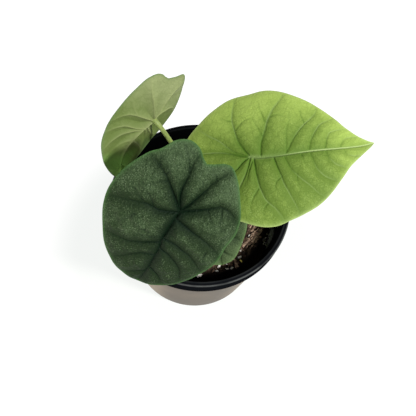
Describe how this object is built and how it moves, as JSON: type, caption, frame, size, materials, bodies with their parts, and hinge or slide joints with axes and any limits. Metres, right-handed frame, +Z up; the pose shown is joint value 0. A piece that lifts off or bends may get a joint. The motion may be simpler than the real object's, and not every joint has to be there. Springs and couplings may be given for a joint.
{
  "type": "potted alocasia melo",
  "caption": "Small house plant with thick, quilted, shield-shaped leaves on fleshy stalks, growing in soil in a round nursery pot.",
  "frame": {"origin": "middle of the pot's flat underside", "axes": "+Z up along the pot's axis, +X towards the rightmost leaf, the front leaf hangs over the rim at -Y"},
  "size_m": [0.156, 0.1174, 0.1754],
  "materials": {
    "pot": "satin",
    "soil": "matte",
    "perlite": "matte",
    "bark": "matte",
    "corm": "matte",
    "stalk": "satin",
    "leaf_dark": "satin",
    "leaf_lime": "satin",
    "leaf_olive": "satin"
  },
  "bodies": {
    "root": {"pot": "pot", "soil": "soil", "corm": "corm", "stalk_front": "stalk", "stalk_right": "stalk", "stalk_back": "stalk", "stalk_small": "stalk", "blade_front": "leaf_dark", "blade_right": "leaf_lime", "blade_back": "leaf_olive", "blade_small": "leaf_dark", "perlite_1": "perlite", "perlite_2": "perlite", "perlite_3": "perlite", "perlite_4": "perlite", "perlite_5": "perlite", "perlite_6": "perlite", "perlite_7": "perlite", "perlite_8": "perlite", "perlite_9": "perlite", "perlite_10": "perlite", "perlite_11": "perlite", "perlite_12": "perlite", "perlite_13": "perlite", "bark_1": "bark", "bark_2": "bark", "bark_3": "bark", "bark_4": "bark", "bark_5": "bark", "bark_6": "bark"}
  },
  "joints": []
}
